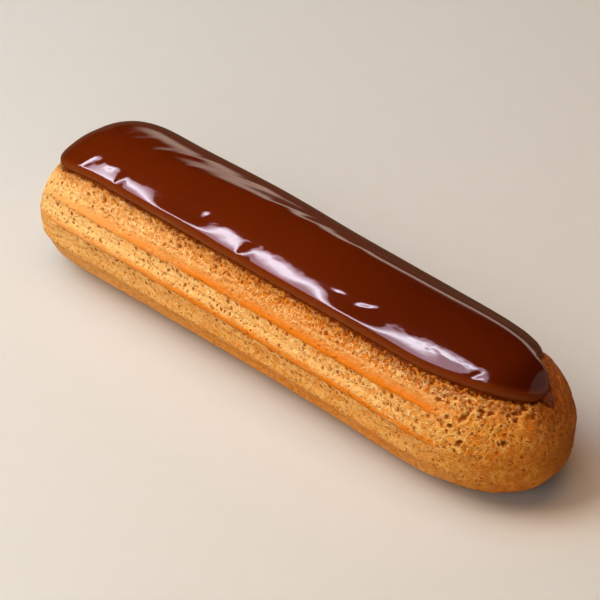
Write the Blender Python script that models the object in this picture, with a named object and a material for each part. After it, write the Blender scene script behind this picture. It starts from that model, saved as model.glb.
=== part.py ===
"""Chocolate eclair: an oblong of ridged choux pastry with a layer of chocolate glaze along its top.

Metres, +Z up. The pastry lies along X on the plane z = 0, with the origin on that plane under its
middle. Its blunt end is at -X and its longer, rounder end at +X. The side called near is at -Y.
"""

import math

import bmesh
import bpy
from mathutils import Vector

MM = 0.001

# The pastry: an oval cross-section with a flat base, drawn out along X between two caps.
LENGTH = 150.0 * MM
HALF_WIDTH = 19.1 * MM  # out to the crests of the piped ridges
AXIS_HEIGHT = 15.55 * MM  # the level where the pastry is widest
CROWN = 16.5 * MM  # from that level up to the top crest
BELLY = 17.5 * MM  # from that level down to the bottom of the full oval, which the base cuts off
BLUNT_CAP = 26.0 * MM  # how far the rounding of the -X end reaches along X
BLUNT_POWER = 3.4
BLUNT_DROP = 7.6 * MM  # how far the widest level comes down at that end
ROUND_CAP = 41.8 * MM  # the same three at the +X end
ROUND_POWER = 3.6
ROUND_DROP = 3.9 * MM
PASTRY_SWELLS = (  # x, way round from the top crest, reach and rise in mm, where it baked unevenly
    (-71.0, -23.0, 9.0, 0.55),
    (-64.0, -37.0, 10.0, 0.50),
    (-30.0, 32.0, 20.0, 0.35),
    (-6.0, -33.0, 22.0, -0.30),
    (24.0, 39.0, 17.0, -0.35),
    (50.0, -44.0, 17.0, 0.60),
    (58.0, 35.0, 12.0, 0.40),
    (66.0, 16.0, 10.0, 0.45),
)

PASTRY_AROUND = 104  # faces round the pastry
PASTRY_ALONG = 30
GLAZE_AROUND = 40
GLAZE_ALONG = 36
SLOPE_STEP = 0.1 * MM  # each way along X, to read how steeply the pastry widens
POLE = 1e-6  # the distance from a unit sphere's axis below which a point is its pole

# The ridges that a star nozzle leaves: narrow crests with broad hollows between them.
RIDGE_FACES = 6  # faces from one crest to the next
RIDGE_PITCH = math.tau * RIDGE_FACES / PASTRY_AROUND
RIDGE_DEPTH = 0.7 * MM
CREST_ROUNDING = 0.12  # as a share of the depth
RIDGES_BLUNT = (-72.0 * MM, -62.0 * MM)  # where they start and are full at the -X end
RIDGES_ROUND = (68.0 * MM, 50.0 * MM)  # the same at the +X end
RIDGES_BASE = (math.radians(150), math.radians(112))  # and towards the base, as turns from the top

# The glaze: a broad layer with a thinner step along its far side, seen from above.
GLAZE_GAP = 0.35 * MM  # clear of the crests below
GLAZE_SWELLS = (  # x, y, reach and rise in mm, where it set thicker or thinner
    (-73.0, -3.0, 13.0, -0.90),
    (-50.0, 12.0, 13.0, -0.45),
    (-18.0, 12.0, 17.0, 0.45),
)
GLAZE_THICKNESS = 1.4 * MM
STEP_THICKNESS = 0.75 * MM
STEP_AT = (8.2 * MM, 10.8 * MM)  # in Y, where the layer comes down to the step
LIP_POWER = 0.42  # a smaller power gives a steeper lip
TIP_ROUNDING = 0.35  # the share of the length, at each tip, over which the layer comes to full thickness
NEAR_EDGE = -12.3 * MM
FAR_EDGE = 14.8 * MM
BLUNT_TIP = Vector((-71.3, 0.6)) * MM
BLUNT_SHOULDER = -56.0 * MM  # where the edges start to draw in towards the tip
BLUNT_TIP_POWER = 3.3
ROUND_TIP = Vector((69.2, 1.5)) * MM
ROUND_SHOULDER = 40.0 * MM
ROUND_NEAR_POWER = 2.2
ROUND_FAR_EDGE = 9.8 * MM  # the far edge of the tongue that runs out to the +X tip
ROUND_FAR_POWER = 3.2
STEP_SHOULDER = 50.0 * MM
STEP_TIP = Vector((61.8, 7.5)) * MM
STEP_TIP_POWER = 2.0

CHOUX_COLOUR = (0.72, 0.31, 0.085)
GLAZE_COLOUR = (0.12, 0.014, 0.0012)


def smooth(value, start, end):
    """0 at start and 1 at end, with an easy slope between them."""
    share = min(max((value - start) / (end - start), 0.0), 1.0)
    return share * share * (3.0 - 2.0 * share)


def rounding(value, shoulder, tip, power):
    """1 up to the shoulder, then down to 0 at the tip along a rounded curve."""
    share = min(max((value - shoulder) / (tip - shoulder), 0.0), 1.0)
    return math.sqrt(1.0 - share**power)


def girth(x):
    """The pastry's width and height at x, as a share of the full ones."""
    blunt = rounding(x, -LENGTH / 2 + BLUNT_CAP, -LENGTH / 2, BLUNT_POWER)
    return blunt * rounding(x, LENGTH / 2 - ROUND_CAP, LENGTH / 2, ROUND_POWER)


def section(x, turn, out):
    """(y, z) of the cross-section at x, at a turn from the top, moved out by a distance."""
    size = girth(x)
    depth = CROWN if math.cos(turn) > 0 else BELLY
    drop = BLUNT_DROP if x < 0 else ROUND_DROP
    y = (HALF_WIDTH * size + out) * math.sin(turn)
    z = AXIS_HEIGHT - drop * (1.0 - size) + (depth * size + out) * math.cos(turn)
    return y, max(z, 0.0)


def ridge_strength(x, turn):
    """1 where the piped ridges are full, 0 where baking has smoothed them away."""
    ends = smooth(x, *RIDGES_BLUNT) * smooth(x, *RIDGES_ROUND)
    return ends * smooth(abs(turn), *RIDGES_BASE)


def swelling(x, across, swells):
    """The sum of the soft swells at a place, each given by its own x, across, reach and rise."""
    total = 0.0
    for swell_x, swell_across, reach, rise in swells:
        distance = math.hypot(x - swell_x * MM, across - swell_across * MM) / (reach * MM)
        total += rise * MM * math.exp(-distance * distance)
    return total


def relief(x, turn):
    """How far the surface stands out from the plain oval, or below zero how far it lies inside."""
    wave = math.hypot(math.sin(math.pi * turn / RIDGE_PITCH), CREST_ROUNDING) - CREST_ROUNDING
    return swelling(x, turn * HALF_WIDTH, PASTRY_SWELLS) - RIDGE_DEPTH * ridge_strength(x, turn) * wave


def pastry_point(unit):
    """A unit sphere's point, with its poles on Z, moved to the pastry's surface."""
    x = unit.z * LENGTH / 2
    turn = math.atan2(unit.x, unit.y)
    y, z = section(x, turn, relief(x, turn) * girth(x))
    return Vector((x, y, z))


def outward(x, turn):
    """The unit vector out of the pastry's upper half, its ridges left aside."""
    slope = (girth(x + SLOPE_STEP) - girth(x - SLOPE_STEP)) / (2 * SLOPE_STEP)
    drop = BLUNT_DROP if x < 0 else ROUND_DROP
    along = -HALF_WIDTH * slope * (CROWN + drop * math.cos(turn))
    return Vector((along, CROWN * math.sin(turn), HALF_WIDTH * math.cos(turn))).normalized()


def glaze_edges(x):
    """(y near, y far) of the glaze's outline at x."""
    if x < 0:
        middle, far_edge = BLUNT_TIP.y, FAR_EDGE
        near_share = rounding(x, BLUNT_SHOULDER, BLUNT_TIP.x, BLUNT_TIP_POWER)
        far_share = near_share
    else:
        middle, far_edge = ROUND_TIP.y, ROUND_FAR_EDGE
        near_share = rounding(x, ROUND_SHOULDER, ROUND_TIP.x, ROUND_NEAR_POWER)
        far_share = rounding(x, ROUND_SHOULDER, ROUND_TIP.x, ROUND_FAR_POWER)
    near = middle + (NEAR_EDGE - middle) * near_share
    far = middle + (far_edge - middle) * far_share
    if 0 <= x < STEP_TIP.x:
        step_share = rounding(x, STEP_SHOULDER, STEP_TIP.x, STEP_TIP_POWER)
        far = max(far, STEP_TIP.y + (FAR_EDGE - STEP_TIP.y) * step_share)
    return near, far


def glaze_thickness(x, y):
    """The glaze's full thickness, away from its lip."""
    step = (STEP_THICKNESS - GLAZE_THICKNESS) * smooth(y, *STEP_AT)
    return GLAZE_THICKNESS + step + swelling(x, y, GLAZE_SWELLS)


def glaze_point(unit):
    """A unit sphere's point moved to the glaze: the upper half to its top, the lower to its underside."""
    tips = (ROUND_TIP.x, BLUNT_TIP.x)
    x = (tips[0] + tips[1]) / 2 + unit.z * (tips[0] - tips[1]) / 2
    ring = math.hypot(unit.x, unit.y)
    across = unit.x / ring if ring > POLE else 0.0
    up = unit.y / ring if ring > POLE else 0.0
    near, far = glaze_edges(x)
    y = (near + far) / 2 + across * (far - near) / 2
    turn = math.asin(y / (HALF_WIDTH * girth(x)))
    tips_share = min(ring / TIP_ROUNDING, 1.0)
    lift = GLAZE_GAP + glaze_thickness(x, y) * (max(up, 0.0) * tips_share) ** LIP_POWER
    return Vector((x, *section(x, turn, 0.0))) + outward(x, turn) * lift


def plain_material(name, colour, roughness):
    material = bpy.data.materials.new(name)
    material.use_nodes = True
    shader = material.node_tree.nodes["Principled BSDF"]
    shader.inputs["Base Color"].default_value = (*colour, 1.0)
    shader.inputs["Roughness"].default_value = roughness
    shader.inputs["Metallic"].default_value = 0.0
    return material


def shaped_sphere(name, around, along, place, material, collection):
    """An object whose skin is a UV sphere with each of its points moved by place."""
    form = bmesh.new()
    bmesh.ops.create_uvsphere(form, u_segments=around, v_segments=along, radius=1.0)
    for vertex in form.verts:
        vertex.co = place(vertex.co.copy())
    mesh = bpy.data.meshes.new(name)
    form.to_mesh(mesh)
    form.free()
    mesh.materials.append(material)
    mesh.shade_smooth()
    obj = bpy.data.objects.new(name, mesh)
    collection.objects.link(obj)
    return obj


def main():
    for obj in list(bpy.data.objects):
        bpy.data.objects.remove(obj, do_unlink=True)
    eclair = bpy.data.collections.new("chocolate_eclair")
    bpy.context.scene.collection.children.link(eclair)
    choux = plain_material("choux", CHOUX_COLOUR, 0.75)
    chocolate = plain_material("chocolate", GLAZE_COLOUR, 0.12)
    shaped_sphere("choux_shell", PASTRY_AROUND, PASTRY_ALONG, pastry_point, choux, eclair)
    shaped_sphere("chocolate_glaze", GLAZE_AROUND, GLAZE_ALONG, glaze_point, chocolate, eclair)


main()
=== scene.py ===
"""The looks of the chocolate eclair: a porous, piped choux crust under a glossy chocolate glaze.

Metres, +Z up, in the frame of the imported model. The pastry lies along X, its rounder end at +X, and
the side called near is at -Y. Both nodes are shown by finer meshes of the same forms.
"""

import math

import bpy
import numpy as np
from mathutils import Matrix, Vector, kdtree


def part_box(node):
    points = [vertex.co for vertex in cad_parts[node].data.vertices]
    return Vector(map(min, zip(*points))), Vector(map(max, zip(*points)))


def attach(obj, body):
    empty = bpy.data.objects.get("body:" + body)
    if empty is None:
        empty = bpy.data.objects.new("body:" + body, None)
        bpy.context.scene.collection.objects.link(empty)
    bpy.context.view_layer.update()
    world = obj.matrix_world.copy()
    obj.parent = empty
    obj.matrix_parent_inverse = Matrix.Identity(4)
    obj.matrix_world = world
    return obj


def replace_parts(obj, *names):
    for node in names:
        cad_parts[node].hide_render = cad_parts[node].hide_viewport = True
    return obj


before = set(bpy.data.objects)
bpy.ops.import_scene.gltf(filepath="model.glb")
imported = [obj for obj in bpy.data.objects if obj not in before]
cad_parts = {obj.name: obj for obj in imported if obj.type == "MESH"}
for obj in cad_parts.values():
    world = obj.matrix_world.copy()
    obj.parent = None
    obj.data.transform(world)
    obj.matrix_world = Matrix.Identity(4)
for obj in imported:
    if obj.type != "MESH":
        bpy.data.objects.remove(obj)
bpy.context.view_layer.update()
PASTRY_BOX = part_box("choux_shell")

MM = 0.001

# The pastry's form, as in the solids.
LENGTH = PASTRY_BOX[1].x - PASTRY_BOX[0].x
HALF_WIDTH = 19.1 * MM
AXIS_HEIGHT = 15.55 * MM
CROWN = 16.5 * MM
BELLY = 17.5 * MM
BLUNT_CAP = 26 * MM
BLUNT_POWER = 3.4
BLUNT_DROP = 7.6 * MM
ROUND_CAP = 41.8 * MM
ROUND_POWER = 3.6
ROUND_DROP = 3.9 * MM
PASTRY_SWELLS = (  # x, way round from the top crest, reach and rise in mm, where it baked unevenly
    (-71, -23, 9, 0.55),
    (-64, -37, 10, 0.50),
    (-30, 32, 20, 0.35),
    (-6, -33, 22, -0.30),
    (24, 39, 17, -0.35),
    (50, -44, 17, 0.60),
    (58, 35, 12, 0.40),
    (66, 16, 10, 0.45),
)

# The ridges that a star nozzle leaves: narrow crests with broad hollows between them.
RIDGE_PITCH = math.radians(20.77)
RIDGE_DEPTH = 0.7 * MM
CREST_RISE = (0.1 * MM, 3.4 * MM)  # how far above a crest its gentle slope ends and starts
CREST_FALL = 0.9 * MM  # and the fall under it is about this long
CREST_LEAN = 0.45 * MM  # how much lower the edges of the crests lie than in the solid
UPPER_TURNS = (math.radians(66), math.radians(78))  # the upper crest is above these turns
UPPER_LEAN_BLUNT = 0.9 * MM  # how much lower still it lies towards the -X end
UPPER_LEAN_ROUND = -0.6 * MM  # and towards the +X end
LOWER_LEAN_ROUND = 1.2 * MM  # and the lower crests towards the +X end
LEAN_BLUNT = (5 * MM, 65 * MM)  # where that starts and is full, from the middle towards -X
LEAN_ROUND = (30 * MM, 62 * MM)  # and towards +X
RIDGES_BLUNT = (-72 * MM, -62 * MM)  # where the ridges start and are full at the -X end
RIDGES_ROUND = (66 * MM, 46 * MM)  # the same at the +X end
RIDGES_BASE = (math.radians(150), math.radians(112))  # and towards the base, as turns from the top

# The glaze's form, as in the solids.
GLAZE_THICKNESS = 1.4 * MM
STEP_THICKNESS = 0.75 * MM
NEAR_EDGE = -12.3 * MM
FAR_EDGE = 14.8 * MM
BLUNT_TIP = Vector((-71.3, 0.6)) * MM
BLUNT_SHOULDER = -56 * MM
BLUNT_TIP_POWER = 3.3
ROUND_TIP = Vector((69.2, 1.5)) * MM
ROUND_SHOULDER = 40 * MM
ROUND_NEAR_POWER = 2.2
ROUND_FAR_EDGE = 9.8 * MM
ROUND_FAR_POWER = 3.2
STEP_SHOULDER = 50 * MM
STEP_TIP = Vector((61.8, 7.5)) * MM
STEP_TIP_POWER = 2.0
GLAZE_SWELLS = (  # x, y, reach and rise in mm, where it set thicker or thinner
    (-73, -3, 13, -0.90),
    (-50, 12, 13, -0.45),
    (-18, 12, 17, 0.45),
)
GLAZE_GAP = 0.35 * MM
LIP_WIDTH = 1.55 * MM  # how far in from its edge the glaze comes to full thickness
LIP_SINK = 0.35 * MM  # how deep the edge of the lip sits in the crust
SHOULDER_LINE = (  # x, y in mm
    (-60, -1), (-46, -0.3), (-38, 0.9), (-28, 2.4), (-14, 4.3),
    (12, 6.3), (38, 7.1), (52, 8), (57, 7.9), (62, 6.6),
)
STEP_SLOPE = (-1.7 * MM, 3.7 * MM)  # how far past that line the glaze thins out to the step
STEP_SHARES = ((-70, 0.4), (-48, 0.6), (-32, 0.85), (-16, 1))  # x in mm, share of the step
THIN_LIP = (0.2 * MM, 2.4 * MM)  # how far in from its edge it looks thin
FOLDS = (  # x, y, half length and half width in mm, angle in degrees, rise in mm
    (-57.6, -1.8, 3.6, 0.9, 74, 0.12),
    (-53, 1.2, 3.4, 1.1, 60, 0.09),
    (-46.9, 0.2, 3.8, 1, 58, 0.12),
    (-41, 4.6, 6, 1.1, 30, 0.08),
    (-37.2, 0.4, 2.6, 0.9, 40, 0.06),
    (-28, 5.6, 7, 1.1, 22, 0.07),
    (-9, 6, 7.5, 1.1, 24, 0.10),
    (0.5, 6.6, 7.5, 1.1, 24, 0.09),
    (9, 4.8, 6.5, 1, 20, 0.05),
    # and the swells of its near shoulder
    (-57.8, -9.4, 2.4, 0.6, 55, 0.09),
    (-46.6, -10.4, 1.1, 2, 0, 0.20),
    (-40.5, -9.8, 5.2, 1.8, 0, -0.03),
    (-27, -11.4, 7.6, 1.9, 0, 0.64),
    (-7.4, -11.2, 1.6, 1.9, 0, 0.34),
    (26, -11.4, 7.6, 1.9, 0, 0.58),
    (64, -9.5, 3.4, 2.6, 0, 0.32),
    (-61, -9.7, 4.2, 2.3, 0, -0.18),
    (-53, -10, 5, 2.3, 0, -0.20),
    (-60.6, -8, 1.2, 0.7, 65, 0.05),
    (-55, -8.3, 1, 0.8, 50, -0.06),
    (-51.5, -8.6, 1.3, 0.7, 0, 0.05),
    (-14, -9.8, 4.4, 1.8, 0, -0.10),
    (0.5, -9.8, 7.5, 2.2, 0, -0.14),
    (13.5, -10.2, 3.5, 1.5, 0, -0.05),
    (48.5, -9.2, 10, 2.6, 0, -0.20),
    (58, -7.6, 1.8, 0.8, 60, -0.14),
    (-22, -8.2, 1.5, 0.9, 70, -0.15),
    (19, -8, 2, 0.5, 6, -0.08),
    (25.4, -8.4, 1.7, 0.8, 20, -0.13),
    (28.2, -7.4, 1.9, 0.8, 25, -0.13),
)
FOLD_POWER = 2.6  # how blunt their ends are
WAVES = (  # rise in mm, size along x, y and z in mm, seed
    (0.03, (14, 7, 1), 41),
    (0.004, (3.2, 2.2, 1), 51),
)
RIPPLE = (0.020, (2.6, 1.7, 1), 57)  # the same for how rough the near shoulder set
RIPPLE_STARTS = (5.5 * MM, 7.4 * MM)  # how far towards the near side it starts and is full
RIPPLE_FADES = (8 * MM, 9 * MM)  # and where it fades again

# The smear of chocolate on the crust past the glaze's round tip.
SMEAR_X = 69.4 * MM
SMEAR_TURN = 0.205
SMEAR_SIZE = (1.40 * MM, 2.2 * MM)  # half its length and half its width
SMEAR_THICKNESS = 1.2 * MM
SMEAR_SINK = -0.25 * MM  # where its edge lies, under the crust's skin
SMEAR_WAVES = ((0.16, 2, 0.7), (0.10, 3, 0), (0.05, 7, 0))  # rise, number round it, shift
SMEAR_RINGS = 10
SMEAR_STEPS = 48

# The crust's fine mesh.
CAP_FACES = 68  # faces along one side of the square grid that closes each end
CAP_REACH = 16 * MM  # how far over the surface that grid reaches from the pole
TUBE_FACES = 328  # faces along the pastry between the two grids
SIDE_FACE = 0.31 * MM  # the width of a face round the sides
TOP_FACE = 0.62 * MM  # under the glaze
BASE_FACE = 0.75 * MM  # and on the base

# The glaze's fine mesh.
GLAZE_ALONG = 520
GLAZE_ACROSS = 150

# The crumb that is modelled in the crust.
ROUND_END = (36 * MM, 60 * MM)  # x where the look of the rounder end starts and is full
LUMPS = (  # rise in mm, how much more at the rounder end, size in mm, seed, octaves
    (0.10, 0, (6.5, 4.5, 4.5), 11, 3),
    (0.05, 0.10, 4.2, 21, 2),
)
FINE_LUMPS = (0.035, 0.045, 1.9, 31, 2)  # the same for finer ones, which fade at the base
NET_ROUND = (44 * MM, 60 * MM)  # x where the net of larger cells starts and is full
NET_BLUNT = (62 * MM, 70 * MM)  # the same towards -X, where it is fainter
NET_CELLS = (2.3 * MM, 61)  # their size and their seed
NET_WALL = 0.05  # how far the net's walls stand out, in mm
NET_SINK = 0.16  # and how far its cells sink in
PIT_DEPTH = 0.8  # as a share of a pit's radius
LARGE_PITS = (120, (0.35 * MM, 0.95 * MM), 5)  # how many, their radii and their seed
RIM_PITS = (340, (0.35 * MM, 0.8 * MM), 6)  # the ones along the glaze's edge
SMALL_PITS = (1250, (0.24 * MM, 0.40 * MM), 7)
CREVICE_DEPTH = 0.45 * MM  # of the broken groove along the glaze's edge
CREVICE_BREAKS = (1.6 * MM, 71, 2)  # the noise that breaks it: size, seed, octaves

NOISE_CELLS = 48  # the noise repeats after so many cells
FLOOR_SIZE = 8

# Where things are on the choux, in mm: heights over the base, and distances past a crest.
STRIP_HEIGHTS = (12, 15, 25.3, 26.3)  # where strips start, are full, fade and end
STRIP_HANG = 0.25  # how far below their crests they hang
STRIP_TOP = (-2.4, -0.9)  # where their broken upper part starts and is full
STRIP_EDGE = (-1.7, -0.9)  # the same for the part that is never broken
STRIP_FOOT = (0.15, 0.65)  # and where they end
TALLER = (19.5, 21.5, 0, 0.8)  # between the first two heights they grow taller, by the last
RAGGED_REACH = 2  # how far their edges wander
STREAK_REACH = 3  # and their streaks
CREST_LINE = (-3.1, -2.8, -2.6, -2.3)  # the thin pale line over a strip
ROW_UNDER_STRIP = (0.1, 0.5, 1.2, 2)  # the row of larger pores under it
FOOT_HEIGHTS = (9.6, 12.2)  # below the first the crumb is closed
LOW_HEIGHTS = (14.5, 17.5)  # below the first it is duller
PAINTED_LIGHT_HEIGHTS = (17.5, 19, 21, 23)  # here it is paler, with painted light
BAKED_HEIGHTS = (20.5, 28)  # and up here browner

# Colours.
CHOUX_GOLD = (0.68, 0.185, 0.014)
CHOUX_PALE = (0.92, 0.410, 0.105)
CHOUX_LOW = (0.80, 0.270, 0.022)
# Toasted patches at the torn end, and painted shade beside the glaze and round the pores.
CHOUX_TOAST_AND_SHADE = (0.56, 0.120, 0.002)
CHOUX_BAKED = (0.64, 0.150, 0.003)
# Painted shade under the glaze's lip over browner crust, and the dark lines on the far side of the
# rounder end.
CHOUX_DARK = (0.34, 0.060, 0.001)
CHOUX_FIBRE = (1.0, 0.66, 0.27)
CHOUX_FIBRE_BAKED = (1.0, 0.58, 0.165)
CHOUX_ORANGE = (0.76, 0.178, 0.0005)
CHOUX_STREAK = (0.70, 0.238, 0.028)
# Painted shade in the pores, in the pits and in the crevice along the glaze.
CHOUX_PORE_SHADE = (0.38, 0.050, 0.0002)
CHOUX_PIT_SHADE = (0.38, 0.052, 0.0002)
CHOUX_CREVICE_SHADE = (0.19, 0.022, 0.0002)
CHOCOLATE = (0.107, 0.0105, 0.0005)
CHOCOLATE_WARM = (0.124, 0.0133, 0.0006)
# Deep chocolate: the smear's own colour, and painted shade on the glaze towards +X.
CHOCOLATE_DEEP = (0.055, 0.0045, 0.0003)
CHOCOLATE_THIN = (0.26, 0.043, 0.004)
CHOCOLATE_GRAIN = 0.003 * MM  # the height of its finest unevenness
FLOOR_PALE = (0.68, 0.625, 0.574)
FLOOR_DEEP = (0.663, 0.603, 0.548)

# The view.
VIEW_AZIMUTH = 44.47
VIEW_ELEVATION = 36.0
VIEW_DISTANCE = 1.09
VIEW_HEIGHT = 18.0 * MM
VIEW_OFFSET = (-0.95 * MM, -1.42 * MM)  # right and up
FOCAL_LENGTH = 297.2

# The lights that light the surfaces: name, direction, distance, size, strength, colour.
LIGHTS = (
    ("key", (-0.5, -0.7, 1.0), 0.60, (0.36, 0.36), 5.40, (1.11, 1.0, 0.78)),
    ("side", (-0.6, -0.3, 1.0), 0.55, (0.45, 0.45), 1.88, (0.40, 1.0, 1.53)),
    ("front", (0.4, -0.85, 0.5), 1.00, (0.80, 0.55), 2.2, (0.84, 1.0, 0.99)),
    ("overhead", (0.0, 0.0, 1.0), 1.00, (0.90, 0.90), 1.2, (1.65, 1.0, 0.57)),
)
# And the bright cards of the studio, which show in reflections only.
CARDS = (
    ("softbox", (-0.45, -0.13, 0.79), 1.70, (0.44, 2.20), 5.2, (0.93, 0.67, 0.85)),
    ("softbox_glow", (-0.50, -0.105, 0.79), 1.69, (0.22, 1.80), 1.2, (0.93, 0.95, 1.10)),
    ("softbox_inner", (-0.50, -0.105, 0.79), 1.68, (0.18, 1.90), 2.2, (0.96, 1.00, 1.15)),
    ("softbox_core", (-0.50, -0.110, 0.79), 1.67, (0.12, 1.90), 3.4, (0.98, 1.05, 1.20)),
    ("softbox_heart", (-0.50, -0.115, 0.79), 1.66, (0.07, 1.90), 6.5, (1.00, 1.05, 1.15)),
)
ROOM_DARK = (0.004, 0.004, 0.004)
ROOM_AT_END = (0.34, 0.31, 0.28)  # the paler side of the room, past the rounder end
ROOM_BEHIND = (0.55, 0.44, 0.36)  # the pale wall low behind the eclair
ROOM_HORIZON = (1.60, 1.28, 1.03)  # and its brightest line
ROOM_BELOW = (0.125, 0.066, 0.038)  # what the glaze reflects of the floor behind the eclair
ROOM_IN_FRONT = (0.34, 0.20, 0.11)  # and of the floor in front of it


# ---- numbers


def smooth(value, start, end):
    """0 at start and 1 at end, with an easy slope between them."""
    share = np.clip((value - start) / (end - start), 0.0, 1.0)
    return share * share * (3.0 - 2.0 * share)


def rounding(value, shoulder, tip, power):
    """1 up to the shoulder, then down to 0 at the tip along a rounded curve."""
    share = np.clip((value - shoulder) / (tip - shoulder), 0.0, 1.0)
    return np.sqrt(1.0 - share**power)


def swelling(x, across, swells):
    """The sum of soft swells at a place, each given by its x, across, reach and rise in mm."""
    total = np.zeros(np.broadcast(x, across).shape)
    for swell_x, swell_across, reach, rise in swells:
        distance = np.hypot(x - swell_x * MM, across - swell_across * MM) / (reach * MM)
        total += rise * MM * np.exp(-distance * distance)
    return total


def noise(points, size, seed):
    """Smooth noise from about -1 to 1. The size of its bumps is a number, or one for each axis."""
    table = np.random.default_rng(seed).uniform(-1, 1, (NOISE_CELLS,) * 3)
    place = points / np.asarray(size)
    cell = np.floor(place).astype(int)
    share = place - cell
    share = share * share * (3 - 2 * share)
    total = np.zeros(len(points))
    for corner in np.ndindex(2, 2, 2):
        weight = np.prod(np.where(corner, share, 1 - share), axis=1)
        i, j, k = ((cell + corner) % NOISE_CELLS).T
        total += weight * table[i, j, k]
    return total


def rough(points, size, seed, octaves=3):
    """Noise with finer noise on it."""
    total = np.zeros(len(points))
    for octave in range(octaves):
        total += noise(points, np.asarray(size) / 2**octave, seed + octave) / 2**octave
    return total


# ---- the pastry's form


def girth(x):
    """The pastry's width and height at x, as a share of the full ones."""
    blunt = rounding(x, -LENGTH / 2 + BLUNT_CAP, -LENGTH / 2, BLUNT_POWER)
    return blunt * rounding(x, LENGTH / 2 - ROUND_CAP, LENGTH / 2, ROUND_POWER)


def section(x, turn, out):
    """Points of the surface at x and at a turn from the top, moved out by a distance."""
    size = girth(x)
    depth = np.where(np.cos(turn) > 0, CROWN, BELLY)
    drop = np.where(x < 0, BLUNT_DROP, ROUND_DROP)
    y = (HALF_WIDTH * size + out) * np.sin(turn)
    z = AXIS_HEIGHT - drop * (1.0 - size) + (depth * size + out) * np.cos(turn)
    return np.stack([x, y, np.maximum(z, 0.0)], axis=-1)


def ridge_strength(x, turn):
    """1 where the piped ridges are full, 0 where baking has smoothed them away."""
    ends = smooth(x, *RIDGES_BLUNT) * smooth(x, *RIDGES_ROUND)
    return ends * smooth(np.abs(turn), *RIDGES_BASE)


def past_crest(x, turn):
    """How far round the skin each place is past its nearest crest, going down, in metres."""
    upper = 1 - smooth(np.abs(turn), *UPPER_TURNS)
    to_round = smooth(x, *LEAN_ROUND)
    lean = CREST_LEAN + (1 - upper) * LOWER_LEAN_ROUND * to_round
    lean += upper * (UPPER_LEAN_BLUNT * smooth(-x, *LEAN_BLUNT) + UPPER_LEAN_ROUND * to_round)
    pitches = np.abs(turn) / RIDGE_PITCH - lean / (RIDGE_PITCH * HALF_WIDTH)
    return (pitches - np.round(pitches)) * RIDGE_PITCH * HALF_WIDTH


def relief(x, turn):
    """How far the surface stands out from the plain oval, or below zero how far it lies inside."""
    past = past_crest(x, turn)
    above = smooth(-past, *CREST_RISE)
    below = 1.0 - np.exp(-np.maximum(past, 0.0) / CREST_FALL)
    hollow = RIDGE_DEPTH * ridge_strength(x, turn) * np.where(past > 0, below, above)
    return swelling(x, turn * HALF_WIDTH, PASTRY_SWELLS) - hollow


def outward(x, turn):
    """Unit vectors out of the pastry's upper half, its ridges left aside."""
    step = 0.1 * MM
    slope = (girth(x + step) - girth(x - step)) / (2 * step)
    drop = np.where(x < 0, BLUNT_DROP, ROUND_DROP)
    along = -HALF_WIDTH * slope * (CROWN + drop * np.cos(turn))
    out = np.stack([along, CROWN * np.sin(turn), HALF_WIDTH * np.cos(turn)], axis=-1)
    return out / np.linalg.norm(out, axis=-1, keepdims=True)


# ---- meshes


def tidy_faces(faces):
    """The faces without repeated corners, and without those that have shrunk to a line."""
    cleaned = [list(dict.fromkeys(face)) for face in faces.tolist()]
    return [face for face in cleaned if len(face) > 2]


def mesh_object(name, points, faces, material, values=None):
    """A smooth piece that rides on the part, with values kept at its points for its material."""
    mesh = bpy.data.meshes.new(name)
    mesh.from_pydata(points.tolist(), [], faces)
    mesh.shade_smooth()
    for key, numbers in (values or {}).items():
        layer = mesh.attributes.new(key, "FLOAT", "POINT")
        layer.data.foreach_set("value", numbers.astype(np.float32))
    mesh.materials.append(material)
    piece = bpy.data.objects.new(name, mesh)
    bpy.context.scene.collection.objects.link(piece)
    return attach(piece, "root")


def face_vectors(points, faces):
    """Each quad's normal, as long as twice its area."""
    a, b, c, d = (points[faces[:, corner]] for corner in range(4))
    return np.cross(c - a, d - b)


def point_sums(points, faces, values):
    """At each point, the sum of the values of the faces that meet there."""
    sums = np.zeros((len(points), *values.shape[1:]))
    for corner in range(4):
        np.add.at(sums, faces[:, corner], values)
    return sums


def point_normals(points, faces):
    """Unit normals at the points of a mesh of quads."""
    normals = point_sums(points, faces, face_vectors(points, faces))
    return normals / np.maximum(np.linalg.norm(normals, axis=1, keepdims=True), 1e-30)


def point_areas(points, faces):
    """The area of skin round each point."""
    return point_sums(points, faces, np.linalg.norm(face_vectors(points, faces), axis=1) / 8)


def nearest_tree(points):
    tree = kdtree.KDTree(len(points))
    for number, point in enumerate(points):
        tree.insert(point, number)
    tree.balance()
    return tree


def quads(index):
    """The faces of a grid of point numbers."""
    corners = [index[:-1, :-1], index[1:, :-1], index[1:, 1:], index[:-1, 1:]]
    return np.stack(corners, axis=-1).reshape(-1, 4)


def closed_grid(cap, rows):
    """(share along, share round, faces) of a tube whose two ends are closed by square grids.

    Ring k of a cap has 8k points. The share along is -1 to 0 on the first cap, 0 to 1 on the tube
    and 1 to 2 on the last cap.
    """
    half = cap // 2
    columns = 8 * half
    tube = np.arange((rows + 1) * columns).reshape(rows + 1, columns)
    along = np.repeat(np.arange(rows + 1) / rows, columns)
    around = np.tile(np.arange(columns) / columns, rows + 1)
    faces = [quads(np.column_stack([tube, tube[:, 0]]))]
    i, j = np.mgrid[-half : half + 1, -half : half + 1]
    ring = np.maximum(abs(i), abs(j))
    length = np.maximum(8 * ring, 1)
    sides = [(i == ring) & (j > -ring), j == ring, i == -ring]
    step = np.select(sides, [ring + j, 3 * ring - i, 5 * ring - j], (7 * ring + i) % length)
    inner = ring < half
    for edge, side in ((tube[0], -1), (tube[-1], 1)):
        index = edge[step]
        index[inner] = len(along) + np.arange(inner.sum())
        along = np.append(along, ((1 - ring / half) * side + (side > 0))[inner])
        around = np.append(around, (step / length)[inner])
        faces.append(quads(index)[:, ::-side])
    return along, around, np.concatenate(faces)


# ---- glaze


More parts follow.
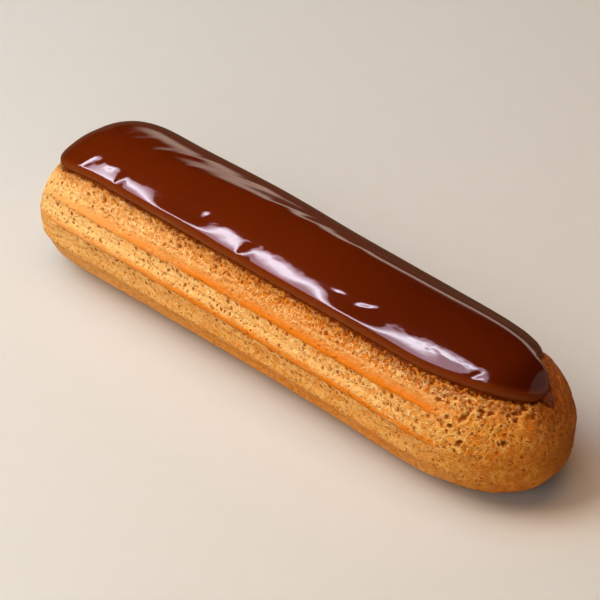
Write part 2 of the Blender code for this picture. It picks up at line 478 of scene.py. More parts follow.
def glaze_edges(x):
    """(y near, y far) of the glaze's outline at x."""
    blunt = rounding(x, BLUNT_SHOULDER, BLUNT_TIP.x, BLUNT_TIP_POWER)
    near_share, far_share = (
        np.where(x < 0, blunt, rounding(x, ROUND_SHOULDER, ROUND_TIP.x, power))
        for power in (ROUND_NEAR_POWER, ROUND_FAR_POWER)
    )
    step_share = rounding(x, STEP_SHOULDER, STEP_TIP.x, STEP_TIP_POWER)
    middle = np.where(x < 0, BLUNT_TIP.y, ROUND_TIP.y)
    near = middle + (NEAR_EDGE - middle) * near_share
    far = middle + (np.where(x < 0, FAR_EDGE, ROUND_FAR_EDGE) - middle) * far_share
    step = STEP_TIP.y + (FAR_EDGE - STEP_TIP.y) * step_share
    return near, np.where((x >= 0) & (x < STEP_TIP.x), np.maximum(far, step), far)


def folds(x, y):
    """How high the glaze's folds stand at a place. All three are in mm."""
    total = np.zeros_like(x)
    for fold_x, fold_y, length, width, angle, rise in FOLDS:
        turned = math.radians(angle)
        from_x, from_y = x - fold_x, y - fold_y
        along = from_x * math.cos(turned) + from_y * math.sin(turned)
        across = from_y * math.cos(turned) - from_x * math.sin(turned)
        total += rise * np.exp(-np.abs(along / length) ** FOLD_POWER - (across / width) ** 2)
    return total


def glaze_thickness(x, y):
    """The glaze's full thickness, away from its lip, with the unevenness that it set with."""
    line_x, line_y = np.array(SHOULDER_LINE).T * MM
    past = y - np.interp(x, line_x, line_y)
    shares_x, shares = np.array(STEP_SHARES).T
    step = (STEP_THICKNESS - GLAZE_THICKNESS) * smooth(past, *STEP_SLOPE)
    step *= np.interp(x, shares_x * MM, shares)
    flat = np.stack([x, y, np.zeros_like(x)], axis=-1)
    waves = np.zeros_like(x)
    for rise, size, seed in WAVES:
        waves += rise * rough(flat, np.array(size) * MM, seed, 2)
    shoulder = smooth(-y, *RIPPLE_STARTS) * (1 - smooth(-y, *RIPPLE_FADES))
    rise, size, seed = RIPPLE
    waves += rise * shoulder * rough(flat, np.array(size) * MM, seed)
    uneven = (waves + folds(x / MM, y / MM)) * MM
    return GLAZE_THICKNESS + step + uneven + swelling(x, y, GLAZE_SWELLS)


def rim_distance(points, rim):
    """How far each point is from a closed line."""
    after = np.roll(rim, -1, axis=0)
    parts = [rim + (after - rim) * share for share in np.linspace(0, 1, 12, endpoint=False)]
    tree = nearest_tree(np.concatenate(parts))
    return np.array([tree.find(point)[2] for point in points])


def make_glaze():
    """The glaze's object: a thick layer with a rounded lip whose edge sits in the crust."""
    polar = np.linspace(0, math.pi, GLAZE_ALONG + 1)
    x_row = (ROUND_TIP.x + BLUNT_TIP.x) / 2 - np.cos(polar) * (ROUND_TIP.x - BLUNT_TIP.x) / 2
    across = np.sin(np.linspace(-math.pi / 2, math.pi / 2, GLAZE_ACROSS + 1))
    near, far = glaze_edges(x_row)
    x = np.repeat(x_row, len(across))
    y = ((near + far)[:, None] / 2 + (far - near)[:, None] / 2 * across).ravel()
    turn = np.arcsin(np.clip(y / (HALF_WIDTH * np.maximum(girth(x), 1e-6)), -1, 1))
    below = section(x, turn, 0.0)
    rows = below.reshape(len(x_row), len(across), 3)
    inside = rim_distance(below, np.concatenate([rows[:, 0], rows[::-1, -1]]))
    share = np.clip(inside / LIP_WIDTH, 0, 1)
    full = GLAZE_GAP + glaze_thickness(x, y) + LIP_SINK
    lift = full * np.sqrt(1 - (1 - share) ** 2) - LIP_SINK
    points = below + outward(x, turn) * lift[:, None]

    index = np.arange(len(points)).reshape(len(x_row), len(across))
    index[0], index[-1] = index[0, 0], index[-1, 0]
    under = np.stack([index[:-1, 0], index[:-1, -1], index[1:, -1], index[1:, 0]], axis=-1)
    faces = tidy_faces(np.concatenate([quads(index), under]))
    piece = mesh_object(
        "glaze_layer", points, faces, chocolate_material(),
        {"thin": 1 - smooth(inside, *THIN_LIP)},
    )
    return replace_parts(piece, "chocolate_glaze")


# ---- crust


def turns_round(share):
    """Turns from the top, -pi to pi, at shares of the way round, closer together on the sides."""
    turn = np.linspace(-math.pi, math.pi, 2001)
    top = 1 - smooth(np.abs(turn), math.radians(34), math.radians(44))
    base = smooth(np.abs(turn), math.radians(138), math.radians(146))
    width = SIDE_FACE + (TOP_FACE - SIDE_FACE) * top + (BASE_FACE - SIDE_FACE) * base
    middle = section(np.zeros_like(turn), turn, 0.0)
    steps = np.linalg.norm(np.diff(middle, axis=0), axis=1) / ((width[1:] + width[:-1]) / 2)
    reached = np.concatenate([[0.0], np.cumsum(steps)])
    return np.interp(share, reached / reached[-1], turn)


def side_line():
    """(x, the way over the surface to it) along the middle of the near side, from pole to pole."""
    x = -np.cos(np.linspace(0, math.pi, 4001)) * LENGTH / 2
    side = section(x, np.full_like(x, -math.pi / 2), 0.0)
    return x, np.concatenate([[0.0], np.cumsum(np.linalg.norm(np.diff(side, axis=0), axis=1))])


def way_along(at):
    """How far over the surface each x is from the -X pole."""
    x, reached = side_line()
    return np.interp(at, x, reached)


def x_along(share):
    """x at shares of the way along, even over the surface of the side."""
    x, reached = side_line()
    whole = reached[-1]
    way = np.select(
        [share < 0, share > 1],
        [(1 + share) * CAP_REACH, whole - (2 - share) * CAP_REACH],
        CAP_REACH + share * (whole - 2 * CAP_REACH),
    )
    return np.interp(way, reached, x)


def pits(points, normals, weight, count, sizes, seed):
    """(depth, darkness, rim) of a number of uneven round pits: depth in metres, the others 0 to 1.

    The sizes are the smallest and the largest radius. Most pits are small, and more of them fall
    where the weight is high.
    """
    random = np.random.default_rng(seed)
    centres = random.choice(len(points), count, replace=False, p=weight / weight.sum())
    radii = sizes[0] + (sizes[1] - sizes[0]) * random.uniform(0, 1, count) ** 1.8
    stretch = random.uniform(0.75, 1.45, count)
    angle = random.uniform(0, math.pi, count)
    wobble = 0.3 * noise(points, 0.8 * MM, seed)
    depth, dark, rim = np.zeros((3, len(points)))
    tree = nearest_tree(points)
    for centre, radius, long, turned in zip(centres, radii, stretch, angle):
        near = np.array([found[1] for found in tree.find_range(points[centre], radius * 1.9)])
        first = np.cross(normals[centre], (0.1, math.sin(turned), math.cos(turned)))
        first /= np.linalg.norm(first)
        second = np.cross(normals[centre], first)
        offset = points[near] - points[centre]
        share = np.hypot(offset @ first / long, offset @ second * long) / radius + wobble[near]
        depth[near] = np.maximum(depth[near], PIT_DEPTH * radius * (1 - smooth(share, 0.2, 1.1)))
        # The darkness is for the painted shade in the pit.
        dark[near] = np.maximum(dark[near], 1 - smooth(share, 0.45, 0.95))
        rim[near] = np.maximum(rim[near], smooth(share, 0.8, 1.1) * (1 - smooth(share, 1.15, 1.6)))
    return depth, dark, rim


def cells(points, share, size, seed):
    """(wall, own): how near points are to the walls of uneven cells, and a number for their cell.

    Both are from 0 to 1, and 0 where the share is 0.
    """
    random = np.random.default_rng(seed)
    moved = points + 0.3 * size * np.stack(
        [noise(points, 0.9 * size, seed + axis) for axis in range(3)], axis=-1
    )
    chosen = np.flatnonzero(share > 0)
    taken, centres = set(), []
    for number in random.permutation(chosen):
        key = tuple(np.floor(points[number] / (0.8 * size)).astype(int))
        if key not in taken:
            taken.add(key)
            centres.append(number)
    tree = nearest_tree(points[centres])
    number_of = random.uniform(0, 1, len(centres))
    wall, own = np.zeros((2, len(points)))
    for number in chosen:
        first, second = tree.find_n(moved[number], 2)
        wall[number] = 1 - smooth(second[2] - first[2], 0.0, 0.3 * size)
        own[number] = number_of[first[1]]
    return wall, own


def past_glaze(points):
    """How far outside the glaze's outline each point is, seen from above."""
    x, y = points[:, 0], points[:, 1]
    near, far = glaze_edges(np.clip(x, BLUNT_TIP.x, ROUND_TIP.x))
    ends = np.maximum(x - ROUND_TIP.x, BLUNT_TIP.x - x)
    return np.maximum(np.maximum(near - y, y - far), ends)


def crust_lumps(points, round_end, net_share):
    """How far the crumb stands out from the even form: its lumps, and the net of larger cells."""
    height = points[:, 2]
    lumps = np.zeros(len(points))
    for rise, more, size, seed, octaves in LUMPS:
        lumps += (rise + more * round_end) * rough(points, np.array(size) * MM, seed, octaves)
    rise, more, size, seed, octaves = FINE_LUMPS
    fine = (rise + more * round_end) * rough(points, size * MM, seed, octaves)
    lumps += fine * smooth(height, 0.5 * MM, 5 * MM)
    wall, own = cells(points, net_share, *NET_CELLS)
    lumps += net_share * (NET_WALL * wall - NET_SINK * own**2 * (1 - wall))
    lumps *= MM * (0.05 + 0.95 * smooth(height, 0.3 * MM, 4.5 * MM))
    return lumps


def crust_pits(points, faces, normals, strip, outside, round_end):
    """(depth, darkness, rim) of the large pits, of those along the glaze and of the small ones."""
    x, y, height = points.T
    far_corner = smooth(y, 4 * MM, 10 * MM) * smooth(x, 52 * MM, 60 * MM)
    outline = np.maximum(smooth(x, 69 * MM, 73 * MM), far_corner)
    bare = point_areas(points, faces) * (1 - 0.75 * strip) * smooth(height, 3 * MM, 9 * MM)
    bare = bare * (outside > -1.5 * MM) * (1 - 0.9 * outline)
    high = smooth(height, 10 * MM, 20 * MM)
    torn = smooth(x, 50 * MM, 62 * MM) * high * np.exp(-np.maximum(outside, 0.0) / (7 * MM))
    torn = (torn + 0.5 * smooth(-x, 60 * MM, 68 * MM) * high) * (1 - smooth(y, -6 * MM, 2 * MM))
    beside_glaze = np.exp(-(((outside - 0.3 * MM) / (0.9 * MM)) ** 2))
    large = pits(points, normals, bare * (0.0001 + torn), *LARGE_PITS)
    rim = pits(points, normals, bare * beside_glaze * (0.8 + 0.6 * round_end), *RIM_PITS)
    small = pits(points, normals, bare * (0.4 + high), *SMALL_PITS)
    return large, rim, small


def make_crust():
    """The crust's object: the form of the solid, with its lumps and larger pits modelled."""
    along, around, faces = closed_grid(CAP_FACES, TUBE_FACES)
    x = x_along(along)
    turn = turns_round(around)
    points = section(x, turn, relief(x, turn) * girth(x))
    normals = point_normals(points, faces)
    height = points[:, 2]

    ridges = ridge_strength(x, turn)
    round_end = smooth(x, *ROUND_END)
    base = 1 - smooth(height, 0.1 * MM, 1.6 * MM)
    strip = ridges * np.exp(-(((past_crest(x, turn) + 0.5 * MM) / (0.8 * MM)) ** 2))
    outside = np.where(height > AXIS_HEIGHT, past_glaze(points), 1.0)
    net_share = np.clip(smooth(x, *NET_ROUND) + 0.6 * smooth(-x, *NET_BLUNT), 0, 1)
    net_share *= (1 - base) * (outside > -1 * MM)
    broken = np.clip(0.5 + 0.9 * rough(points, *CREVICE_BREAKS), 0.0, 1.0)
    crevice = np.exp(-(((outside - 0.15 * MM) / (0.45 * MM)) ** 2))
    crevice *= broken * (1 + 0.6 * round_end)

    lumps = crust_lumps(points, round_end, net_share)
    large, rim, small = crust_pits(points, faces, normals, strip, outside, round_end)
    sunk = np.maximum(np.maximum(1.3 * large[0], rim[0]), small[0])
    points = points + normals * (lumps - sunk - CREVICE_DEPTH * crevice)[:, None]
    points[:, 2] = np.maximum(points[:, 2], 0.0)
    kept = {
        "past_crest": past_crest(x, turn) / MM,
        "ridges": ridges,
        # The darkness of the pits, for painted shade; torn is that of the large pits at the rounder
        # end and those along the glaze.
        "pit": np.maximum(np.maximum(large[1], rim[1]), small[1]),
        "torn": np.maximum(large[1] * round_end, 0.9 * rim[1]),
        "pit_rim": large[2] * (1 - large[1]),
        "round_end": round_end,
        "outside": np.clip(outside / MM, -9.0, 9.0),
        "ends": net_share,
        "along": way_along(x) / MM,
        "around": turn * HALF_WIDTH / MM,
    }
    piece = mesh_object("choux_crust", points, faces.tolist(), choux_material(), kept)
    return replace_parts(piece, "choux_shell")


def make_smear():
    """The object of the thin smear of chocolate on the crust, just past the glaze's tip."""
    ring, step = np.meshgrid(np.arange(SMEAR_RINGS + 1), np.arange(SMEAR_STEPS), indexing="ij")
    angle = step.ravel() * 2 * math.pi / SMEAR_STEPS
    share = ring.ravel() / SMEAR_RINGS
    reach = np.ones_like(angle)
    for rise, number, shift in SMEAR_WAVES:
        reach += rise * np.sin(number * angle + shift)
    turn = SMEAR_TURN + share * reach * SMEAR_SIZE[1] * np.sin(angle) / HALF_WIDTH
    x = SMEAR_X + share * reach * SMEAR_SIZE[0] * np.cos(angle)
    below = section(x, turn, relief(x, turn) * girth(x))
    lift = SMEAR_SINK + (SMEAR_THICKNESS - SMEAR_SINK) * np.sqrt(np.clip(1 - share**3, 0, 1))
    points = below + outward(x, turn) * lift[:, None]
    index = np.arange(len(points)).reshape(SMEAR_RINGS + 1, SMEAR_STEPS)
    index[0] = index[0, 0]
    faces = tidy_faces(quads(np.column_stack([index, index[:, 0]])))
    faces.append(index[-1, ::-1].tolist())
    return mesh_object("chocolate_smear", points, faces, smear_material())


# ---- materials


class Graph:
    """The node tree of a material or a world, with one short call for each kind of node.

    Wherever a number goes, (value, start, end, low, high) stands for a ramp.
    """

    def __init__(self, owner):
        self.tree = owner.node_tree

    def feed(self, socket, value):
        """Puts a number, a colour, another node's output or a ramp into a socket."""
        if isinstance(value, tuple) and isinstance(value[0], bpy.types.NodeSocket):
            value = self.ramp(*value)
        if isinstance(value, bpy.types.NodeSocket):
            self.tree.links.new(value, socket)
        elif isinstance(value, tuple) and len(value) == 3 and socket.type == "RGBA":
            socket.default_value = (*value, 1.0)
        else:
            socket.default_value = value

    def fill(self, node, inputs):
        """Feeds a node's sockets, their names written with underscores for spaces."""
        for key, value in inputs.items():
            self.feed(node.inputs[key.replace("_", " ")], value)

    def node(self, kind, settings=None, **inputs):
        made = self.tree.nodes.new(kind)
        for key, value in (settings or {}).items():
            setattr(made, key, value)
        self.fill(made, inputs)
        return made

    def shade(self, **inputs):
        """Feeds the material's shader."""
        self.fill(self.tree.nodes["Principled BSDF"], inputs)

    def math(self, operation, first, *others):
        """Numbers added, multiplied or the like, one after the other."""
        for other in others:
            made = self.node("ShaderNodeMath", {"operation": operation})
            self.feed(made.inputs[0], first)
            self.feed(made.inputs[1], other)
            first = made.outputs[0]
        return first

    def add(self, *values):
        return self.math("ADD", *values)

    def minus(self, *values):
        return self.math("SUBTRACT", *values)

    def times(self, *values):
        return self.math("MULTIPLY", *values)

    def most(self, *values):
        return self.math("MAXIMUM", *values)

    def vector(self, operation, *values):
        made = self.node("ShaderNodeVectorMath", {"operation": operation})
        for socket, value in zip(made.inputs, values):
            self.feed(socket, value)
        return made.outputs[0]

    def ramp(self, value, start, end, low=0.0, high=1.0):
        """low below start and high above end, with an easy slope between them."""
        kind, settings = "ShaderNodeMapRange", {"interpolation_type": "SMOOTHSTEP"}
        limits = {"From_Min": start, "From_Max": end, "To_Min": low, "To_Max": high}
        return self.node(kind, settings, Value=value, **limits).outputs[0]

    def window(self, value, start, full, fading, end):
        """0 below start, 1 from full to fading and 0 above end."""
        return self.times((value, start, full), (value, fading, end, 1.0, 0.0))

    def mix(self, share, first, second):
        """One colour over another."""
        made = self.node("ShaderNodeMix", {"data_type": "RGBA", "clamp_factor": True})
        for number, value in ((0, share), (6, first), (7, second)):
            self.feed(made.inputs[number], value)
        return made.outputs[2]

    def coated(self, colour, *coats):
        """A colour with others over it, each given as (share, colour)."""
        for share, coat in coats:
            colour = self.mix(share, colour, coat)
        return colour

    def value(self, attribute):
        """What the mesh keeps at its points under that name."""
        return self.node("ShaderNodeAttribute", {"attribute_name": attribute}).outputs["Fac"]

    def place(self, stretch=(1.0, 1.0, 1.0)):
        """The place on the object in mm, squeezed along each axis."""
        found = self.node("ShaderNodeTexCoord").outputs["Object"]
        return self.vector("MULTIPLY", found, tuple(factor / MM for factor in stretch))

    def noise(self, place, size, detail=2.0, roughness=0.5):
        """Noise from 0 to 1 with bumps of about that size."""
        made = self.node(
            "ShaderNodeTexNoise", Vector=place, Scale=1 / size, Detail=detail, Roughness=roughness
        )
        return made.outputs["Fac"]

    def warped(self, place, size, amount):
        """The place moved about by noise, so that what is drawn there is uneven."""
        made = self.node("ShaderNodeTexNoise", Vector=place, Scale=1 / size, Detail=1.0)
        centred = self.vector("SUBTRACT", made.outputs["Color"], (0.5, 0.5, 0.5))
        return self.vector("MULTIPLY_ADD", centred, (2 * amount,) * 3, place)

    def foam(self, place, size, width):
        """(wall, random, away) of uneven cells: 1 along their walls, a random number for each cell,
        and how far its middle is, as a share of the size. The width of the walls is in mm.
        """
        edges, middles = (
            self.node("ShaderNodeTexVoronoi", {"feature": feature}, Vector=place, Scale=1 / size)
            for feature in ("DISTANCE_TO_EDGE", "F1")
        )
        wall = self.ramp(edges.outputs["Distance"], 0.0, width / size, 1.0, 0.0)
        random = self.node("ShaderNodeSeparateColor", Color=middles.outputs["Color"]).outputs[0]
        return wall, random, middles.outputs["Distance"]

    def bump(self, height, distance):
        made = self.node("ShaderNodeBump", Height=height, Distance=distance, Strength=1.0)
        return made.outputs["Normal"]


def new_material(name):
    material = bpy.data.materials.new(name)
    material.use_nodes = True
    return material


class Skin(Graph):
    """The choux's graph, with fields of where things are on it: from 0 to 1, or in millimetres."""

    def __init__(self, owner):
        super().__init__(owner)
        self.here = self.place()
        self.uneven = self.warped(self.here, 1.3, 0.5)
        self.x, self.y, self.height = self.node("ShaderNodeSeparateXYZ", Vector=self.here).outputs
        self.round_end = self.value("round_end")
        self.outside = self.value("outside")
        self.pit = self.value("pit")
        self.patches = self.noise(self.here, 3.2, 3, 0.6)
        self.mottle = self.noise(self.uneven, 0.9, 3, 0.65)
        self.streaks = self.noise(self.place((0.12, 1, 1)), 0.32, 3, 0.65)
        along = self.times(self.value("along"), 0.14)
        flow = self.node("ShaderNodeCombineXYZ", X=along, Y=self.value("around"))
        self.lines = self.noise(flow.outputs[0], 0.55, 3, 0.6)
        self.smooth_patch = self.ramp(self.noise(self.uneven, 2.6), 0.47, 0.54)
        self.glossy_patch = self.times(self.smooth_patch, self.round_end)
        self.find_strips()
        self.find_closed_places()
        self.find_walls()
        self.find_pores()
        self.find_tones()

    def find_strips(self):
        """The smooth strips along the crests, worn in places, with a thin pale line above each."""
        ragged = self.minus(self.noise(self.uneven, 0.9, 3, 0.7), 0.5)
        self.past = self.add(self.value("past_crest"), self.times(ragged, RAGGED_REACH))
        self.band = self.add(self.past, -STRIP_HANG)
        self.full = self.times(
            (self.value("ridges"), 0.25, 0.8), self.window(self.height, *STRIP_HEIGHTS)
        )
        taller = self.ramp(self.height, *TALLER)
        upper = self.times(
            (self.add(self.band, taller), *STRIP_TOP),
            (self.noise(self.uneven, 0.6), 0.36, 0.58, 0.6, 1),
        )
        edge = self.ramp(self.add(self.band, self.times(taller, 0.3)), *STRIP_EDGE)
        pale_end = self.times((self.x, -72, -50, 0.6, 0), (self.height, 18, 21))
        self.strip = self.times(
            self.most(upper, edge),
            (self.band, *STRIP_FOOT, 1, 0),
            self.full,
            (self.noise(self.place((0.3, 1, 1)), 2), 0.32, 0.5, 0.6, 1),
            self.minus(1, pale_end),
        )
        self.crest_line = self.times(self.window(self.past, *CREST_LINE), self.full, 0.35)

    def find_closed_places(self):
        """The foot of the sides and the far side of the rounder end, where the crumb is closed."""
        foot = self.add(self.height, self.times(self.patches, 1.6))
        self.bottom = self.times(
            (foot, *FOOT_HEIGHTS, 1, 0),
            (self.round_end, 0, 1, 1, 0.3),
            (self.x, -72, -30, 0.4, 1),
        )
        past_end = self.times(self.round_end, (self.x, 60, 68))
        self.far_end = self.times(self.round_end, (self.y, -8, 8))
        self.closed = self.most(self.bottom, past_end, self.far_end)

    def find_walls(self):
        """The foam of the crumb: cells with broken pale walls, larger ones at the ends."""
        wall, self.random, self.away = self.foam(self.uneven, 1.3, 0.15)
        fine_place = self.warped(self.here, 0.7, 0.3)
        fine_wall, self.fine_random, self.fine_away = self.foam(fine_place, 0.80, 0.11)
        end_wall, _, self.end_away = self.foam(self.warped(self.here, 1.8, 0.9), 2.2, 0.20)
        ends = self.value("ends")
        self.netted = self.times(ends, (self.x, 64, 72, 1, 0.6), (self.y, -4, 6, 1, 0.5))
        wall = self.times(wall, (self.noise(self.here, 1.5), 0.38, 0.52))
        fine_wall = self.times(fine_wall, (self.noise(self.here, 1.1, 1), 0.46, 0.56), 0.85)
        end_wall = self.times(end_wall, self.netted, (self.noise(self.here, 1.9), 0.36, 0.52))
        light = self.times(
            self.most(wall, fine_wall),
            (self.strip, 0.5, 1, 1, 0.2),
            (self.closed, 0, 1, 1, 0.5),
            (ends, 0, 1, 1, 0.85),
        )
        self.light = self.most(light, end_wall, self.crest_line)

    def find_pores(self):
        """The cells that are open in the middle, larger in the row under each strip."""
        few = self.times(
            (self.strip, 0, 0.6, 1, 0.10),
            (self.closed, 0, 1, 1, 0.7),
            (self.height, 12, 16, 0.6, 1),
        )
        larger = self.times(self.window(self.past, *ROW_UNDER_STRIP), self.full, 0.10)
        inside = self.minus(self.add((self.random, 0.20, 1, 0.06, 0.33), larger), self.away)
        fine_inside = self.minus((self.fine_random, 0.50, 1, 0.02, 0.31), self.fine_away)
        pores = self.most((inside, 0, 0.05), self.times((fine_inside, 0, 0.07), 0.85))
        # The painted shade round the edge of each pore.
        halo = self.most((inside, -0.12, 0), (fine_inside, -0.16, 0))
        rings = self.window(inside, -0.20, -0.12, -0.08, -0.02)
        rings = self.times(rings, (self.random, 0.35, 0.5), few, 0.4)
        light = self.most(self.light, rings, self.value("pit_rim"))
        self.holes = self.times(pores, few)
        self.halo = self.times(halo, few, 0.38)
        self.light = self.times(light, (self.glossy_patch, 0, 1, 1, 0.6))

    def find_tones(self):
        """Where the choux is duller, browner from the oven, or darker beside the glaze, with painted
        shade there and in the crevice along its edge.
        """
        self.low = self.ramp(self.height, *LOW_HEIGHTS, 0.55, 0)
        top = self.add(self.height, self.times(self.patches, 4))
        self.baked = self.most(
            self.times((top, *BAKED_HEIGHTS), (self.x, -72, 10), 0.85),
            self.times(self.bottom, (self.lines, 0.35, 0.6, 0.6, 0.25)),
            self.times((self.x, 54, 70), (self.smooth_patch, 0, 1, 0.42, 1)),
        )
        self.beside = self.add(self.outside, self.patches, self.times(self.mottle, 0.8))
        self.reach = self.ramp(self.x, 10, 50, 0, -0.8)
        # The crevice along the glaze's edge, sunk by the bump and darkened with painted shade.
        ragged = self.times(self.noise(self.here, 0.9, 3, 0.6), 1.8)
        from_edge = self.add(self.outside, ragged, self.times(self.reach, 0.4))
        self.gap = self.ramp(from_edge, 1.15, 1.6, 1, 0)


def dough(skin):
    """The crumb before browning: paler with painted light on its sides, most towards -X, duller low
    down and at the round end.
    """
    # Painted light: paler a little above the widest part of the sides, most towards -X where the
    # lamps are.
    painted_light = skin.times(skin.window(skin.height, *PAINTED_LIGHT_HEIGHTS), (skin.x, -60, 50, 0.20, 0.03))
    uneven = skin.add(skin.times(skin.patches, 0.45), skin.times(skin.mottle, 0.45))
    tone = skin.add(uneven, skin.times(skin.random, 0.12), painted_light, 0.015)
    dull = skin.most(skin.low, skin.times(skin.round_end, 0.85))
    return skin.coated(CHOUX_GOLD, ((tone, 0.43, 0.60), CHOUX_PALE), (dull, CHOUX_LOW))


def browned_and_shaded(skin, colour):
    """Browned by the oven, darker beside the glaze (browner, with painted shade under its lip),
    toasted in patches at the torn end.
    """
    blotches = skin.times((skin.noise(skin.uneven, 1.4), 0.50, 0.62), (skin.x, 50, 64, 0, 0.55))
    toast_and_shade_patches = skin.times((skin.x, 48, 60, 0, -2.6), (skin.noise(skin.uneven, 1.7), 0.40, 0.50))
    # Painted shade under the glaze's lip over crust that is browner there, reaching further in
    # patches at the torn end.
    near_glaze = skin.ramp(skin.add(skin.beside, skin.reach, toast_and_shade_patches), 1.3, 2.6, 0.95, 0)
    dark_lines = skin.times(skin.far_end, (skin.lines, 0.40, 0.58, 1, 0.25))
    pale_lines = skin.times((skin.lines, 0.50, 0.66), skin.closed, 0.36)
    return skin.coated(
        colour,
        (skin.baked, CHOUX_BAKED),
        (blotches, CHOUX_TOAST_AND_SHADE),
        ((skin.beside, 1.4, 3.2, 1, 0), CHOUX_TOAST_AND_SHADE),
        (skin.most(dark_lines, near_glaze), CHOUX_DARK),
        (pale_lines, CHOUX_LOW),
        ((skin.x, -60, 10, 0.16, 0), CHOUX_FIBRE),
    )


def with_walls(skin, colour):
    """The pale walls of the cells, and the strips, streaked along their upper edges."""
    walls = skin.times(
        skin.light,
        (skin.baked, 0, 1, 0.8, 0.75),
        (skin.far_end, 0, 0.8, 1, 0.5),
        (skin.beside, 1.4, 3, 0.5, 1),
        (skin.low, 0, 0.55, 1, 0.7),
    )
    fibre = skin.mix((skin.x, 50, 66), CHOUX_FIBRE, CHOUX_FIBRE_BAKED)
    strips = skin.times(skin.strip, (skin.light, 0, 0.4, 1, 0.85))
    streaked = skin.add(skin.band, skin.times(skin.minus(skin.streaks, 0.5), STREAK_REACH))
    orange = skin.coated(
        CHOUX_STREAK,
        ((streaked, -2.2, -0.9), CHOUX_ORANGE),
        ((skin.x, -70, -8, 0.7, 0), CHOUX_PALE),
    )
    return skin.coated(colour, (walls, fibre), (strips, orange))


def with_holes(skin, colour):
    """Painted shade in the pores, round their edges and in the pits, and a broken line of painted
    shade in the crevice along the glaze, with pale bits standing in it.
    """
    bits = skin.ramp(skin.noise(skin.here, 0.8, 1), 0.53, 0.57)
    return skin.coated(
        colour,
        (skin.halo, CHOUX_TOAST_AND_SHADE),
        (skin.times(skin.pit, 0.75), CHOUX_PIT_SHADE),
        (skin.times(skin.holes, 0.8), CHOUX_PORE_SHADE),
        (skin.times(skin.value("torn"), 0.6), CHOUX_CREVICE_SHADE),
        (skin.times(skin.gap, 0.9), CHOUX_CREVICE_SHADE),
        (skin.times(bits, skin.window(skin.outside, 0, 0.3, 1.2, 2), 0.6), CHOUX_LOW),
    )


def choux_material():
    """Baked choux: porous golden hollows, smooth orange strips along the crests, browner ends."""
    material = new_material("choux")
    skin = Skin(material)
    heights = (
        (skin.light, 0.12),
        ((skin.away, 0, 0.55), 0.12),
        (skin.mottle, (skin.round_end, 0, 1, 0.24, 0.36)),
        (skin.noise(skin.here, 0.28), 0.08),
        (skin.streaks, skin.strip, 0.12),
        (skin.lines, skin.closed, 0.22),
        ((skin.end_away, 0, 0.6), skin.netted, 0.25),
        (skin.holes, -0.16),
        (skin.gap, -0.15),
    )
    glossier = skin.most(skin.strip, skin.glossy_patch)
    sheen = skin.times(
        (glossier, 0, 1, 0.05, 0.12), (skin.most(skin.holes, skin.pit), 0, 0.5, 1, 0)
    )
    skin.shade(
        Base_Color=with_holes(skin, with_walls(skin, browned_and_shaded(skin, dough(skin)))),
        Roughness=(glossier, 0, 1, 0.72, 0.45),
        Specular_IOR_Level=sheen,
        Normal=skin.bump(skin.add(*(skin.times(*factors) for factors in heights)), MM),
    )
    return material


def chocolate_material():
    """Dark chocolate glaze, glossy, warmer where it thins out at its lip, with painted shade towards
    the +X end.
    """
    material = new_material("chocolate")
    graph = Graph(material)
    place = graph.place()
    x = graph.node("ShaderNodeSeparateXYZ", Vector=place).outputs["X"]
    colour = graph.coated(
        CHOCOLATE,
        (graph.noise(place, 9), CHOCOLATE_WARM),
        # Painted shade: darker from the middle towards the +X end, which faces away from the key
        # light.
        (graph.add((x, 0, 40, 0, 0.5), (x, 60, 67, 0, 0.5)), CHOCOLATE_DEEP),
        (graph.times(graph.value("thin"), 0.5), CHOCOLATE_THIN),
    )
    graph.shade(
        Base_Color=colour,
        Roughness=(graph.noise(place, 2.5), 0.3, 0.7, 0.05, 0.09),
        Normal=graph.bump(graph.noise(place, 0.7), CHOCOLATE_GRAIN),
    )
    return material


def smear_material():
    """Chocolate wiped thin, so that the crust shows through a little."""
    material = new_material("chocolate_smear")
    graph = Graph(material)
    graph.shade(
        Base_Color=graph.mix(graph.noise(graph.place(), 0.8, 3), CHOCOLATE_DEEP, CHOCOLATE_THIN),
        Roughness=0.32,
    )
    return material


def floor_material():
    material = new_material("pale_floor")
    graph = Graph(material)
    grain = graph.noise(graph.place(), 6, 4)
    graph.shade(
        Base_Color=graph.mix(grain, FLOOR_PALE, FLOOR_DEEP), Roughness=0.9, Specular_IOR_Level=0.1
    )
    return material


# ---- stage


def aimed(obj, place, target):
    """Links an object at a place, with its -Z axis towards the target."""
    obj.location = place
    obj.rotation_mode = "QUATERNION"
    obj.rotation_quaternion = (Vector(target) - Vector(place)).to_track_quat("-Z", "Y")
    bpy.context.scene.collection.objects.link(obj)
    return obj


def make_camera():
    """The photograph's view. Azimuth 0 looks along +Y and 90 along -X."""
    turned, raised = math.radians(VIEW_AZIMUTH), math.radians(VIEW_ELEVATION)
    right = Vector((math.cos(turned), math.sin(turned), 0.0))
    level = math.cos(raised)
    back = Vector((math.sin(turned) * level, -math.cos(turned) * level, math.sin(raised)))
    up = back.cross(right)
    camera = bpy.data.cameras.new("camera")
    camera.lens = FOCAL_LENGTH
    camera.sensor_width = 36.0
    target = Vector((0, 0, VIEW_HEIGHT)) + right * VIEW_OFFSET[0] + up * VIEW_OFFSET[1]
    made = bpy.data.objects.new("camera", camera)
    bpy.context.scene.camera = aimed(made, target + back * VIEW_DISTANCE, target)


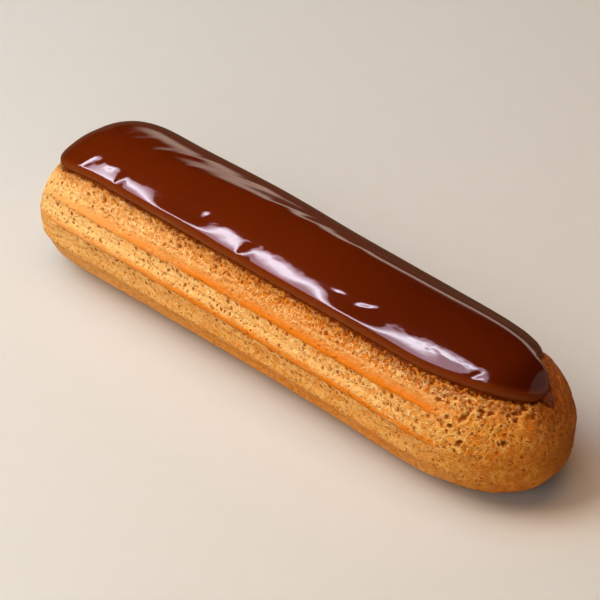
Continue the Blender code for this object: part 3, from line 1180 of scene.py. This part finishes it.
def make_light(name, direction, distance, size, strength, colour, in_reflections):
    """A rectangular light that faces the eclair, either for the surfaces or for reflections only.

    Its strength is what its surface gives off.
    """
    light = bpy.data.lights.new(name, "AREA")
    light.shape = "RECTANGLE"
    light.size, light.size_y = size
    light.color = colour
    light.energy = strength * size[0] * size[1] * math.pi
    place = Vector(direction).normalized() * distance
    made = aimed(bpy.data.objects.new(name, light), place, (0, 0, 0))
    made.visible_camera = False
    made.visible_glossy = in_reflections
    made.visible_diffuse = not in_reflections


def make_world():
    """A dark room, with the glow of the floor below the horizon."""
    world = bpy.data.worlds.new("room")
    world.use_nodes = True
    graph = Graph(world)
    direction = graph.node("ShaderNodeTexCoord").outputs["Generated"]
    x, y, z = graph.node("ShaderNodeSeparateXYZ", Vector=direction).outputs
    past_tip = graph.ramp(graph.add(x, graph.times(y, 0.9)), 0.85, 0.88)
    behind = graph.times(graph.window(x, -0.72, -0.56, -0.20, 0.10), (y, 0.20, 0.40))
    colour = graph.coated(
        ROOM_DARK,
        (graph.times(past_tip, (y, 0.05, 0.40)), ROOM_AT_END),
        ((z, -0.05, 0, 1, 0), ROOM_BELOW),
        (graph.times(behind, graph.window(z, -0.06, 0.05, 0.10, 0.30)), ROOM_BEHIND),
        (graph.times(behind, graph.window(z, -0.02, 0.08, 0.13, 0.26)), ROOM_HORIZON),
        (graph.times((z, -0.16, -0.02, 1, 0), (y, -0.5, -0.1, 1, 0)), ROOM_IN_FRONT),
    )
    graph.feed(graph.tree.nodes["Background"].inputs["Color"], colour)
    world.cycles_visibility.diffuse = False
    bpy.context.scene.world = world


def make_floor():
    bpy.ops.mesh.primitive_plane_add(size=FLOOR_SIZE)
    floor = bpy.context.object
    floor.name = "floor"
    floor.data.materials.append(floor_material())
    floor.visible_glossy = False


def main():
    bpy.context.scene.view_settings.view_transform = "Standard"
    make_camera()
    make_world()
    make_floor()
    for light in LIGHTS:
        make_light(*light, in_reflections=False)
    for card in CARDS:
        make_light(*card, in_reflections=True)
    make_crust()
    make_glaze()
    make_smear()


main()
